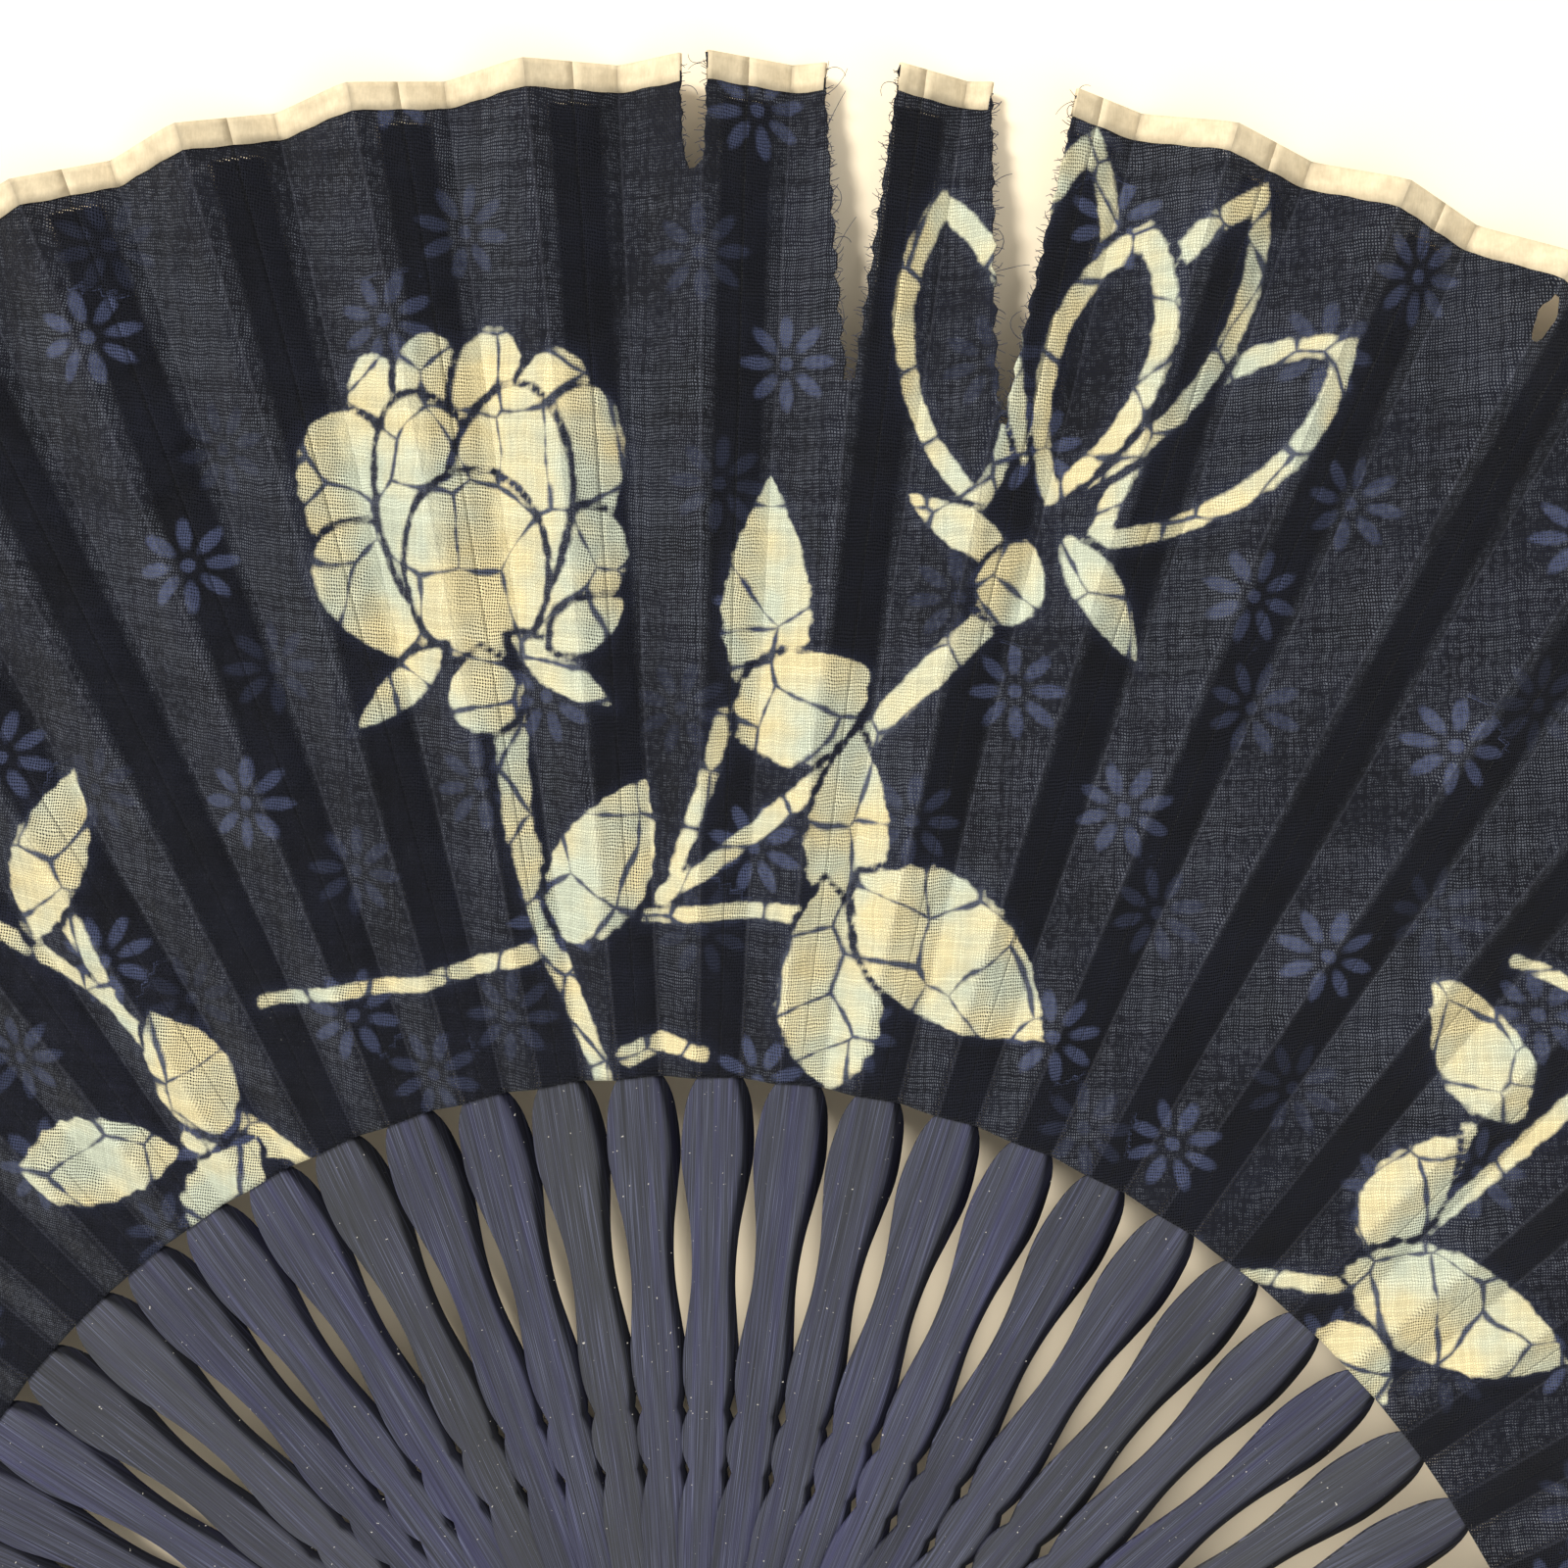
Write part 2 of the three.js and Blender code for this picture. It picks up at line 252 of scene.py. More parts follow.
class Graph:
    """Short calls for building one material's nodes."""

    def __init__(self, name):
        self.material = bpy.data.materials.new(name)
        self.material.use_nodes = True
        self.nodes = self.material.node_tree.nodes
        self.links = self.material.node_tree.links
        self.shader = self.nodes["Principled BSDF"]

    def put(self, value, socket):
        if isinstance(value, bpy.types.NodeSocket):
            self.links.new(value, socket)
        elif isinstance(value, (tuple, list)) and len(socket.default_value) == 4:
            socket.default_value = (*value, 1)
        else:
            socket.default_value = value

    def node(self, kind, inputs, **settings):
        made = self.nodes.new(kind)
        for key, value in settings.items():
            setattr(made, key, value)
        for key, value in inputs.items():
            self.put(value, made.inputs[key])
        return made

    def attribute(self, name, output="Vector"):
        return self.node("ShaderNodeAttribute", {}, attribute_name=name).outputs[output]

    def math(self, operation, *values, clamp=False):
        inputs = dict(enumerate(values))
        made = self.node("ShaderNodeMath", inputs, operation=operation, use_clamp=clamp)
        return made.outputs[0]

    def vector(self, operation, *values, output=0):
        made = self.node("ShaderNodeVectorMath", dict(enumerate(values)), operation=operation)
        return made.outputs[output]

    def split(self, vector):
        return self.node("ShaderNodeSeparateXYZ", {0: vector}).outputs

    def join(self, x, y, z=0.0):
        return self.node("ShaderNodeCombineXYZ", {0: x, 1: y, 2: z}).outputs[0]

    def noise(self, vector, scale, detail=3.0, rough=0.55):
        inputs = {"Vector": vector, "Scale": scale, "Detail": detail, "Roughness": rough}
        return self.node("ShaderNodeTexNoise", inputs).outputs["Fac"]

    def random(self, vector):
        return self.node("ShaderNodeTexWhiteNoise", {"Vector": vector}).outputs["Value"]

    def remap(self, value, low, high, to_low=0.0, to_high=1.0):
        inputs = {0: value, 1: low, 2: high, 3: to_low, 4: to_high}
        return self.node("ShaderNodeMapRange", inputs).outputs[0]

    def mix(self, share, a, b):
        made = self.node("ShaderNodeMix", {}, data_type="RGBA")
        self.put(share, made.inputs[0])
        self.put(a, made.inputs[6])
        self.put(b, made.inputs[7])
        return made.outputs[2]

    def mix_value(self, share, a, b):
        return self.node("ShaderNodeMix", {0: share, 2: a, 3: b}, data_type="FLOAT").outputs[0]

    def scale(self, colour, factor):
        made = self.node("ShaderNodeVectorMath", {0: colour, 3: factor}, operation="SCALE")
        return made.outputs[0]

    def bump(self, height, distance, strength=1.0, under=None):
        inputs = {"Height": height, "Distance": distance * MM, "Strength": strength}
        if under is not None:
            inputs["Normal"] = under
        return self.node("ShaderNodeBump", inputs).outputs[0]

    def finish(self, **inputs):
        for key, value in inputs.items():
            self.put(value, self.shader.inputs[key.replace("_", " ")])
        return self.material


def srgb(red, green, blue):
    """A colour given as 0-255 screen values, in the linear values that shaders take."""
    parts = [c / 255 for c in (red, green, blue)]
    return tuple(c / 12.92 if c <= 0.04045 else ((c + 0.055) / 1.055) ** 2.4 for c in parts)


FUZZ_OPEN = 0.55  # how much shows through the thinnest place of a hole with fuzz across it
WARP_PITCH = 0.265  # from thread to thread
WEFT_PITCH = 0.33
CRACK_SCALE = 0.125  # cracked pieces of wax per millimetre


def weave(g, flat):
    """The plain weave: 1 in its holes, its threads' height, each thread's tone and each hole's."""
    uneven = g.noise(flat, 0.35, 2.0)
    slack = g.math("MULTIPLY", g.math("SUBTRACT", uneven, 0.5), 3.0)
    x, y, _ = g.split(flat)
    thread_x = g.math("MULTIPLY_ADD", x, 1 / WARP_PITCH, slack)
    thread_y = g.math("MULTIPLY_ADD", y, 1 / WEFT_PITCH, g.math("MULTIPLY", slack, -0.8))
    index_x = g.math("FLOOR", thread_x)
    index_y = g.math("FLOOR", thread_y)
    edge_x = from_thread_middle(g, thread_x)
    edge_y = from_thread_middle(g, thread_y)
    tone_x = g.random(g.join(index_x, 3.0))
    tone_y = g.random(g.join(7.0, index_y))
    hole_x = beside_thread(g, g.join(index_x, g.math("MULTIPLY", y, 0.25)), tone_x, edge_x)
    hole_y = beside_thread(g, g.join(g.math("MULTIPLY", x, 0.25), index_y), tone_y, edge_y)
    hole = g.math("MULTIPLY", hole_x, hole_y)
    parity = g.math("PINGPONG", g.math("ADD", index_x, index_y), 1.0)
    across = g.mix_value(parity, edge_x, edge_y)
    height = g.math("SUBTRACT", 1.0, g.math("POWER", across, 2.0))
    tone = g.math("ADD", g.math("MULTIPLY", tone_x, 0.5), g.math("MULTIPLY", tone_y, 0.5))
    speckle = g.random(g.join(index_x, index_y, 5.0))
    return hole, height, tone, speckle


def beside_thread(g, place, tone, edge):
    """1 where the thread isn't: each thread has its own width, which also varies along it."""
    slub = g.noise(place, 1.0, 1.0)
    half_width = g.remap(g.math("MULTIPLY_ADD", tone, 0.5, slub), 0.35, 1.1, 0.66, 0.36)
    return g.math("GREATER_THAN", edge, half_width)


def from_thread_middle(g, thread):
    """0 along a thread's middle line, 1 halfway to the next thread."""
    within = g.math("SUBTRACT", g.math("FRACT", thread), 0.5)
    return g.math("MULTIPLY", g.math("ABSOLUTE", within), 2.0)


def daisy_mask(g, flat):
    """1 inside the eight petals of the small flower whose middle the point is measured from."""
    x, y, fade = g.split(g.attribute("daisy"))
    turn = g.math("ARCTAN2", y, x)
    sector = math.pi / 4
    folded = g.math("SUBTRACT", g.math("FLOORED_MODULO", turn, sector), sector / 2)
    reach = g.vector("LENGTH", g.join(x, y), output="Value")
    along = g.math("MULTIPLY", reach, g.math("COSINE", folded))
    across = g.math("MULTIPLY", reach, g.math("SINE", folded))
    petal = g.vector(
        "LENGTH",
        g.join(g.math("DIVIDE", g.math("SUBTRACT", along, 3.2), 1.5), g.math("DIVIDE", across, 0.66)),
        output="Value",
    )
    heart = g.math("DIVIDE", reach, 0.65)
    nearest = g.math("MINIMUM", petal, heart)
    rough = g.math("MULTIPLY", g.math("SUBTRACT", g.noise(flat, 1.6, 2.0), 0.5), 0.5)
    mask = g.remap(g.math("ADD", nearest, rough), 1.25, 0.8)
    return g.math("MULTIPLY", mask, fade, clamp=True)


def dyed_ground(g, flat, resist):
    """The indigo round the wax: near black, paler and greyer towards the cream."""
    uneven = g.noise(flat, 0.12, 4.0)
    ground = g.mix(g.remap(uneven, 0.3, 0.7), srgb(13, 14, 20), srgb(19, 21, 31))
    halo = g.remap(resist, 1.6, -0.4)
    ground = g.mix(g.math("MULTIPLY", halo, 0.35), ground, srgb(40, 45, 66))
    ground = g.mix(g.remap(resist, 0.35, -0.4, 0.0, 0.85), ground, srgb(74, 79, 92))
    return g.mix(daisy_mask(g, flat), ground, srgb(58, 64, 88))


def wax_print(g, flat):
    """The print's colour, where it is cream, and that cream."""
    edge_noise = g.math("SUBTRACT", g.noise(flat, 0.55, 3.0), 0.5)
    resist = g.math("MULTIPLY_ADD", edge_noise, 0.9, g.attribute("resist", "Fac"))
    inside = g.math("SMOOTH_MIN", g.math("MULTIPLY", resist, -1.0), crack_distance(g, flat), 0.9)
    cream = g.remap(inside, -0.2, 0.12)
    stain = g.remap(g.noise(flat, 0.09, 3.0), 0.38, 0.62)
    cream_colour = g.mix(stain, srgb(202, 189, 147), srgb(180, 185, 165))
    printed = g.mix(cream, dyed_ground(g, flat, resist), cream_colour)
    wear = g.remap(g.attribute("fold", "Fac"), 0.22, 0.0)
    printed = g.mix(g.math("MULTIPLY", wear, 0.08), printed, srgb(120, 122, 135))
    return printed, cream, cream_colour


def cotton():
    """Indigo cotton with a wax-resist print. Where no rib is behind it, loose fibres lie across its holes,
    painted paler as a stand-in for light that comes through the sheer cloth.
    """
    g = Graph("indigo_cotton")
    flat = g.attribute("flat")
    hole, height, tone, speckle = weave(g, flat)
    printed, cream, cream_colour = wax_print(g, flat)
    free = g.remap(g.attribute("behind", "Fac"), -0.3, 0.5)
    # painted light: across the holes, thinner places are painted paler, standing for light that comes
    # through the cloth where no rib is behind it; partly real loose fibres
    cloud = g.math("MULTIPLY_ADD", g.noise(flat, 0.045, 2.0), 1.1, g.math("MULTIPLY", tone, 0.25))
    thin = g.remap(g.math("MULTIPLY_ADD", speckle, 0.45, cloud), 0.72, 1.3)
    fuzz_and_painted_light = g.mix(thin, srgb(14, 15, 20), srgb(122, 127, 138))
    fuzz_and_painted_light = g.mix(cream, fuzz_and_painted_light, cream_colour)
    see_through = g.mix_value(free, 1.0, g.math("MULTIPLY", thin, FUZZ_OPEN))
    shade = g.math("MULTIPLY", g.remap(height, 0, 1, 0.45, 1.1), g.remap(tone, 0, 1, 0.8, 1.2))
    colour = g.mix(g.math("MULTIPLY", hole, free), g.scale(printed, shade), fuzz_and_painted_light)
    slack = g.bump(g.noise(flat, 0.12, 2.0), 1.6)
    return g.finish(
        Base_Color=colour,
        Alpha=g.math("SUBTRACT", 1.0, g.math("MULTIPLY", hole, see_through)),
        Roughness=0.92,
        Specular_IOR_Level=0.15,
        Sheen_Weight=0.06,
        Normal=g.bump(height, 0.06, 0.7, under=slack),
    )


def crack_distance(g, flat):
    """Millimetres into a whole piece of wax, from the cracks that let the dye in."""
    bend = g.node("ShaderNodeTexNoise", {"Vector": flat, "Scale": 0.11, "Detail": 1.0})
    bent = g.vector("ADD", flat, g.scale(bend.outputs["Color"], 3.0))
    cells = g.node(
        "ShaderNodeTexVoronoi",
        {"Vector": bent, "Scale": CRACK_SCALE},
        feature="DISTANCE_TO_EDGE",
        voronoi_dimensions="2D",
    ).outputs["Distance"]
    half_width = g.remap(g.noise(flat, 0.3, 2.0), 0.35, 0.65, 0.05, 0.42)
    return g.math("SUBTRACT", g.math("DIVIDE", cells, CRACK_SCALE), half_width)


def tape():
    """Cream paper-like binding tape, greyed and creased at the folds."""
    g = Graph("binding_tape")
    flat = g.attribute("flat")
    mottled = g.noise(flat, 0.5, 5.0, 0.65)
    colour = g.mix(g.remap(mottled, 0.3, 0.7), srgb(188, 172, 142), srgb(214, 198, 166))
    grime = g.remap(g.noise(flat, 0.16, 3.0), 0.5, 0.72)
    colour = g.mix(g.math("MULTIPLY", grime, 0.5), colour, srgb(150, 138, 114))
    crease = g.remap(g.attribute("fold", "Fac"), 0.5, 0.0)
    colour = g.mix(g.math("MULTIPLY", crease, 0.45), colour, srgb(126, 116, 98))
    x, y, _ = g.split(flat)
    threads = g.noise(g.join(g.math("MULTIPLY", x, 5.0), y), 1.0, 2.0)
    colour = g.scale(colour, g.remap(threads, 0.3, 0.7, 0.93, 1.05))
    return g.finish(
        Base_Color=colour,
        Roughness=0.8,
        Specular_IOR_Level=0.25,
        Normal=g.bump(mottled, 0.08, 0.5),
    )


def bamboo(name, dark, light, violet):
    """Dyed split bamboo: fine lengthwise streaks, each slat a little different, with dust, and painted shade
    along each slat's right edge.
    """
    g = Graph(name)
    x, y, slat = g.split(g.attribute("grain"))
    own = g.random(g.join(slat, 0.5))
    other = g.random(g.join(slat, 9.5))
    offset = g.math("MULTIPLY", slat, 31.0)

    def streaks(across, along, detail, rough=0.55):
        place = g.join(g.math("MULTIPLY_ADD", x, across, offset), g.math("MULTIPLY", y, along))
        return g.noise(place, 1.0, detail, rough)

    fibre = streaks(8.0, 0.03, 4.0, 0.75)
    broad = streaks(0.9, 0.03, 2.0)
    pores = streaks(13.0, 0.07, 2.0)
    colour = g.mix(g.remap(fibre, 0.40, 0.62), dark, light)
    colour = g.mix(g.remap(broad, 0.45, 0.75, 0.0, 0.6), colour, violet)
    colour = g.mix(g.remap(other, 0.4, 1.0, 0.0, 0.65), colour, srgb(50, 51, 52))
    colour = g.scale(colour, g.remap(own, 0, 1, 0.85, 1.2))
    colour = g.scale(colour, g.remap(pores, 0.34, 0.46, 0.45, 1.0))
    glint = g.remap(pores, 0.58, 0.68)
    colour = g.mix(g.math("MULTIPLY", glint, 0.55), colour, srgb(100, 104, 128))
    # painted shade: each slat darkens towards its cut-away right corner, standing for that slope turned from
    # the light and the next stick's shadow; the same mask dulls its reflection there
    uneven_rim = g.math("MULTIPLY_ADD", broad, 0.3, g.attribute("rim", "Fac"))
    painted_bevel_shade = g.remap(uneven_rim, 1.2, 0.75)
    colour = g.scale(colour, g.remap(painted_bevel_shade, 0.0, 1.0, 1.0, 0.2))
    dust = g.remap(g.noise(g.join(x, y, slat), 2.6, 1.0), 0.775, 0.80)
    colour = g.mix(g.math("MULTIPLY", dust, 0.8), colour, srgb(190, 185, 175))
    return g.finish(
        Base_Color=colour,
        Roughness=g.remap(broad, 0.3, 0.7, 0.42, 0.6),
        Specular_IOR_Level=g.remap(painted_bevel_shade, 0.0, 1.0, 0.35, 0.06),
        Normal=g.bump(fibre, 0.05, 0.55),
    )


def brass():
    g = Graph("rivet_brass")
    place = g.node("ShaderNodeTexCoord", {}).outputs["Object"]
    tarnish = g.noise(place, 900.0, 4.0)
    scratches = g.noise(g.vector("MULTIPLY", place, (9000.0, 700.0, 700.0)), 1.0, 2.0)
    colour = g.mix(g.remap(tarnish, 0.4, 0.7), srgb(178, 150, 100), srgb(120, 98, 62))
    return g.finish(
        Base_Color=colour,
        Metallic=1.0,
        Roughness=g.remap(scratches, 0.3, 0.7, 0.34, 0.55),
        Normal=g.bump(tarnish, 0.05, 0.3),
    )


def frayed_cotton():
    g = Graph("loose_threads")
    flat = g.attribute("flat")
    colour = g.mix(g.noise(flat, 3.0, 2.0), srgb(24, 26, 38), srgb(70, 72, 88))
    return g.finish(Base_Color=colour, Roughness=0.9, Specular_IOR_Level=0.15)


COTTON = cotton()
TAPE = tape()
SLAT = bamboo("dyed_bamboo", srgb(26, 27, 34), srgb(58, 60, 76), srgb(46, 45, 82))
GUARD = bamboo("guard_bamboo", srgb(23, 24, 30), srgb(50, 52, 64), srgb(40, 40, 68))
BRASS = brass()
THREADS = frayed_cotton()

# ---------------------------------------------------------------- sticks and guards


def smooth_width(stretch, r):
    """Width at r on a smooth curve through a stretch's points."""
    at, width = np.array(stretch, float).T
    slope = np.gradient(width, at)
    i = np.clip(np.searchsorted(at, r) - 1, 0, len(at) - 2)
    span = at[i + 1] - at[i]
    t = (r - at[i]) / span
    ends = width[i] * (1 + 2 * t) * (1 - t) ** 2 + width[i + 1] * t**2 * (3 - 2 * t)
    return ends + span * (slope[i] * t * (1 - t) ** 2 - slope[i + 1] * t**2 * (1 - t))


def outline(stretches, spacing):
    """Distances from the rivet and widths all along a slat."""
    places, widths = [], []
    for stretch in stretches:
        start, end = stretch[0][0], stretch[-1][0]
        r = np.linspace(start, end, max(3, round((end - start) / spacing) + 1))
        r = r[1:] if places else r
        places.extend(r)
        widths.extend(smooth_width(stretch, r))
    return np.array(places), np.array(widths)


def slat_section(half, thickness, left, right):
    """Across a slat, bottom left round to bottom right: its left corner is eased, its right one cut away."""
    fall = np.minimum(thickness * 0.88, 0.6)
    across = [
        -half, -half, -half + 0.3 * left, -half + left, -0.3 * half, 0.3 * half,
        half - right, half - 0.55 * right, half - 0.2 * right, half, half,
    ]
    crown = 0.04 + 0 * half
    up = [
        0 * half, thickness - 0.5 * left, thickness - 0.12 * left, thickness, thickness + crown,
        thickness + crown, thickness, thickness - 0.22 * fall, thickness - 0.6 * fall,
        thickness - fall, 0 * half,
    ]
    return np.stack(across, -1), np.stack(up, -1)


def slat(name, k, floor, r, width, thickness, left, right, lift, tilt, material):
    """One slat's mesh from its outline, section and how it lifts and tilts towards the leaf."""
    across, up = slat_section(width / 2, thickness, left, right)
    angle = stick_angle(k)
    wander = 0.05 * np.sin(r / 9 + 2.1 * k)
    across = across + wander[:, None]
    height = floor + lift(r)[:, None] - tilt(r)[:, None] * across + up
    x = r[:, None] * math.sin(angle) + across * math.cos(angle)
    y = r[:, None] * math.cos(angle) - across * math.sin(angle)
    points = np.stack([x, y, height], -1).reshape(-1, 3)
    grain = np.stack([across, r[:, None] + 0 * across, k + 0 * across], -1).reshape(-1, 3)
    rim = ((width[:, None] / 2 - across + wander[:, None]) / right[:, None]).ravel()
    attributes = {"grain": grain, "rim": rim}
    piece = make_mesh(name, points, ring_faces(*across.shape), attributes, material)
    piece.data.set_sharp_from_angle(angle=math.radians(38))
    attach(piece, body_name(k))
    return piece


def stick(k):
    """A bamboo stick, from its rounded foot to its head, going on as a thin rib under the leaf."""
    r, width = outline(STICK_STRETCHES, 0.9)
    rib_r = np.linspace(HEAD_RADIUS + 0.02, RIB_END, 60)
    rib = np.ones_like(rib_r)
    thickness = np.interp(r, [HEAD_RADIUS - 5, HEAD_RADIUS - 1], [STICK_THICKNESS, RIB_THICKNESS])
    piece = slat(
        f"stick_{k:02d}_slat",
        k,
        stick_floor(k),
        np.concatenate([r, rib_r]),
        np.concatenate([width, RIB_WIDTH * rib]),
        np.concatenate([thickness, RIB_THICKNESS * rib]),
        np.concatenate([0.3 * thickness, 0.1 * rib]),
        np.concatenate([np.minimum(1.5, 0.22 * width), 0.2 * rib]),
        stick_lift,
        stick_tilt,
        SLAT,
    )
    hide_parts(f"stick_{k:02d}")


def guard(name, k, floor, lift):
    """An outer guard: a thicker slat that runs the whole height of the fan."""
    r, width = outline(GUARD_STRETCHES, 1.5)
    full = np.ones_like(r)
    piece = slat(
        f"{name}_slat",
        k,
        floor,
        r,
        width,
        GUARD_THICKNESS * full,
        0.8 * full,
        1.2 * full,
        lift,
        unbent,
        GUARD,
    )
    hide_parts(name)


# ---------------------------------------------------------------- the leaf's shape


def fold_height(k, r, side):
    """The leaf's underside at fold k: side +1 is the mountain left of stick k, -1 the valley right."""
    if k == 0:
        return REAR_TOP + SLIDING_GAP + BINDING_STANDOFF + 0 * r
    if k == GAPS:
        return FRONT_FLOOR + front_guard_lift(r) - SLIDING_GAP - BINDING_STANDOFF - LEAF_THICKNESS
    level = stick_floor(k) + stick_lift(r) + LEAF_OVER_STICK
    return level + side * pleat_height(r) / 2


def fold_point(k, r, side):
    angle = stick_angle(k) - side * PITCH / 4
    return np.stack([r * math.sin(angle), r * math.cos(angle), fold_height(k, r, side)], -1)


def leaf_point(gap, t, r):
    """A point of the leaf's underside: t runs from 0 at stick gap's middle to 1 at the next one's."""
    folds = [
        fold_point(gap, r, 1),
        fold_point(gap, r, -1),
        fold_point(gap + 1, r, 1),
        fold_point(gap + 1, r, -1),
    ]
    panel = (t >= 0.25).astype(int) + (t >= 0.75)
    share = ((t + 0.25) % 0.5 / 0.5)[..., None]
    share = np.where((t >= 1.25)[..., None], 1.0, share)
    low = np.choose(panel[..., None], folds[:3])
    high = np.choose(panel[..., None], folds[1:])
    points = low * (1 - share) + high * share
    bow = np.where(panel[..., None] == 1, before_easing(share) - share, 0)
    return points + bow * fold_planes(gap)[1]


def past_rim(gap, t, r):
    """A point of the leaf's underside, carried on level where r is past the leaf's rim."""
    on_cloth = np.minimum(r, LEAF_OUTER)
    points = leaf_point(gap, t, on_cloth)
    points[..., :2] *= (r / on_cloth)[..., None]
    return points


def fold_planes(gap):
    """The parallel planes that hold the two folds of a free panel: a point of one, the step to the other."""
    reach = np.array([HEAD_RADIUS, LEAF_OUTER])
    valley, mountain = fold_point(gap, reach, -1), fold_point(gap + 1, reach, 1)
    normal = np.cross(valley[1] - valley[0], mountain[1] - mountain[0])
    normal /= np.linalg.norm(normal)
    return valley[0], (mountain[0] - valley[0]) @ normal * normal


def before_easing(share):
    return 0.5 - np.sin(np.arcsin(1 - 2 * share) / 3)


def to_t(gap, degrees):
    """t of a place in a gap's part of the leaf, from its angle from the middle of the fan."""
    return np.radians(degrees) / PITCH + MIDDLE - gap


def fold_distance(t, r):
    """Millimetres to the nearest fold."""
    nearest = np.minimum(np.abs(t - 0.25), np.abs(t - 0.75))
    return nearest * PITCH * r


def rib_distance(t, r):
    """Millimetres from the nearest rib's edge, negative where the cloth is glued down on a rib."""
    nearest = np.minimum(np.abs(t), np.abs(1 - t)) * PITCH * r
    return np.where(r < RIB_END, nearest - RIB_WIDTH / 2, 1.0)


def flat_place(gap, t, r):
    """Where a point lies on the cloth before it was pleated, for its threads."""
    angle = (gap + t - MIDDLE) * PITCH * FLAT_STRETCH
    return np.stack([r * np.sin(angle), r * np.cos(angle), 0 * r], -1)


# ---------------------------------------------------------------- tears


def open_tear(tip, tip_angle, left, right, roundness):
    """A tear from the rim down to tip: its edges' angles, in degrees, at each distance r."""

    def edges(r):
        down = np.clip((r - tip) / (LEAF_OUTER - tip), 0, 1) ** roundness
        inside = r > tip
        ragged = 0.035 * np.sin(r * 5.1 + tip) + 0.05 * np.sin(r * 1.9) + 0.03 * np.sin(r * 11.3)
        low = tip_angle + (left - tip_angle) * down + ragged
        high = tip_angle + (right - tip_angle) * down + 0.8 * ragged[..., ::-1]
        return np.where(inside, low, 1.0), np.where(inside, high, 0.0)

    return edges


def hole(low_r, high_r, angle, half_width):
    """A small worn-through hole, longer than it is wide."""

    def edges(r):
        along = (2 * r - low_r - high_r) / (high_r - low_r)
        inside = np.abs(along) < 1
        ragged = 0.05 * np.sin(7 * r) + 0.03 * np.sin(17 * r)
        half = half_width * np.sqrt(np.clip(1 - along**2, 0, 1)) + ragged
        return np.where(inside, angle - half, 1.0), np.where(inside, angle + half, 0.0)

    return edges


# the tears and the hole, by the gap between sticks that each is in
TEARS = {
    13: open_tear(184.6, -1.5, -1.9, -1.15, 0.12),
    14: open_tear(163.5, 3.95, 2.2, 4.4, 0.75),
    15: open_tear(162, 9.35, 7.1, 9.55, 0.8),
    18: hole(186.5, 191, 24.6, 0.28),
}


def cut(gap, t, r):
    """Moves points that lie in a tear to its nearer edge: -1 marks its left edge and 1 its right."""
    side = np.zeros(t.shape, int)
    if gap not in TEARS:
        return t, side
    left, right = TEARS[gap](r)
    left, right = to_t(gap, left), to_t(gap, right)
    inside = (t > left) & (t < right)
    side[inside & (t < (left + right) / 2)] = -1
    side[inside & (side == 0)] = 1
    t = np.where(side == -1, left, t)
    t = np.where(side == 1, right, t)
    return t, side


def uncut(side):
    """The faces of the grid that have cloth in them."""
    corners = np.stack([side[:-1, :-1], side[:-1, 1:], side[1:, 1:], side[1:, :-1]], -1)
    across = (corners.min(-1) < 0) & (corners.max(-1) > 0)
    flattened = np.abs(corners).min(-1) == 1
    return ~(across | flattened)


# ---------------------------------------------------------------- the print


def local(x, y, at, turn):
    """Coordinates across and along a motif that stands at a place, turned clockwise from +Y."""
    angle = math.radians(turn)
    dx, dy = x - at[0], y - at[1]
    return dx * math.cos(angle) - dy * math.sin(angle), dx * math.sin(angle) + dy * math.cos(angle)


def oval(x, y, at, length, width, turn=0.0):
    across, along = local(x, y, at, turn)
    a, b = width / 2, length / 2
    size = np.hypot(across / a, along / b)
    slope = np.hypot(across / a**2, along / b**2)
    return size * (size - 1) / np.maximum(slope, 1e-6)


def pointed(x, y, at, length, width, turn=0.0, heavy=0.25):
    """A leaf or petal with two points, broader towards its foot."""
    across, along = local(x, y, at, turn)
    half, b = length / 2, width / 2
    across = across / (1 - heavy * np.clip(along / half, -1, 1))
    reach = (half**2 + b**2) / (2 * b)
    return np.hypot(along, np.abs(across) + reach - b) - reach


def stroke(x, y, points, start_width, end_width):
    """A brush line through points, tapering from its first width to its last."""
    nearest = np.full(x.shape, 1e3)
    last = len(points) - 1
    for i in range(last):
        (ax, ay), (bx, by) = points[i], points[i + 1]
        dx, dy = bx - ax, by - ay
        t = np.clip(((x - ax) * dx + (y - ay) * dy) / (dx * dx + dy * dy), 0, 1)
        width = start_width + (end_width - start_width) * (i + t) / last
        nearest = np.minimum(nearest, np.hypot(x - ax - t * dx, y - ay - t * dy) - width / 2)
    return nearest


def over(print_, shape, gap=0.85):
    """Lays a shape over what is printed, with a dark line round it."""
    return np.minimum(np.maximum(print_, gap - shape), shape)


def outlined(print_, shape, line=1.9, clear=1.0):
    """Lays the outline of a shape over what is printed."""
    ring = np.abs(shape + line / 2) - line / 2
    return np.minimum(np.maximum(print_, clear - shape), ring)


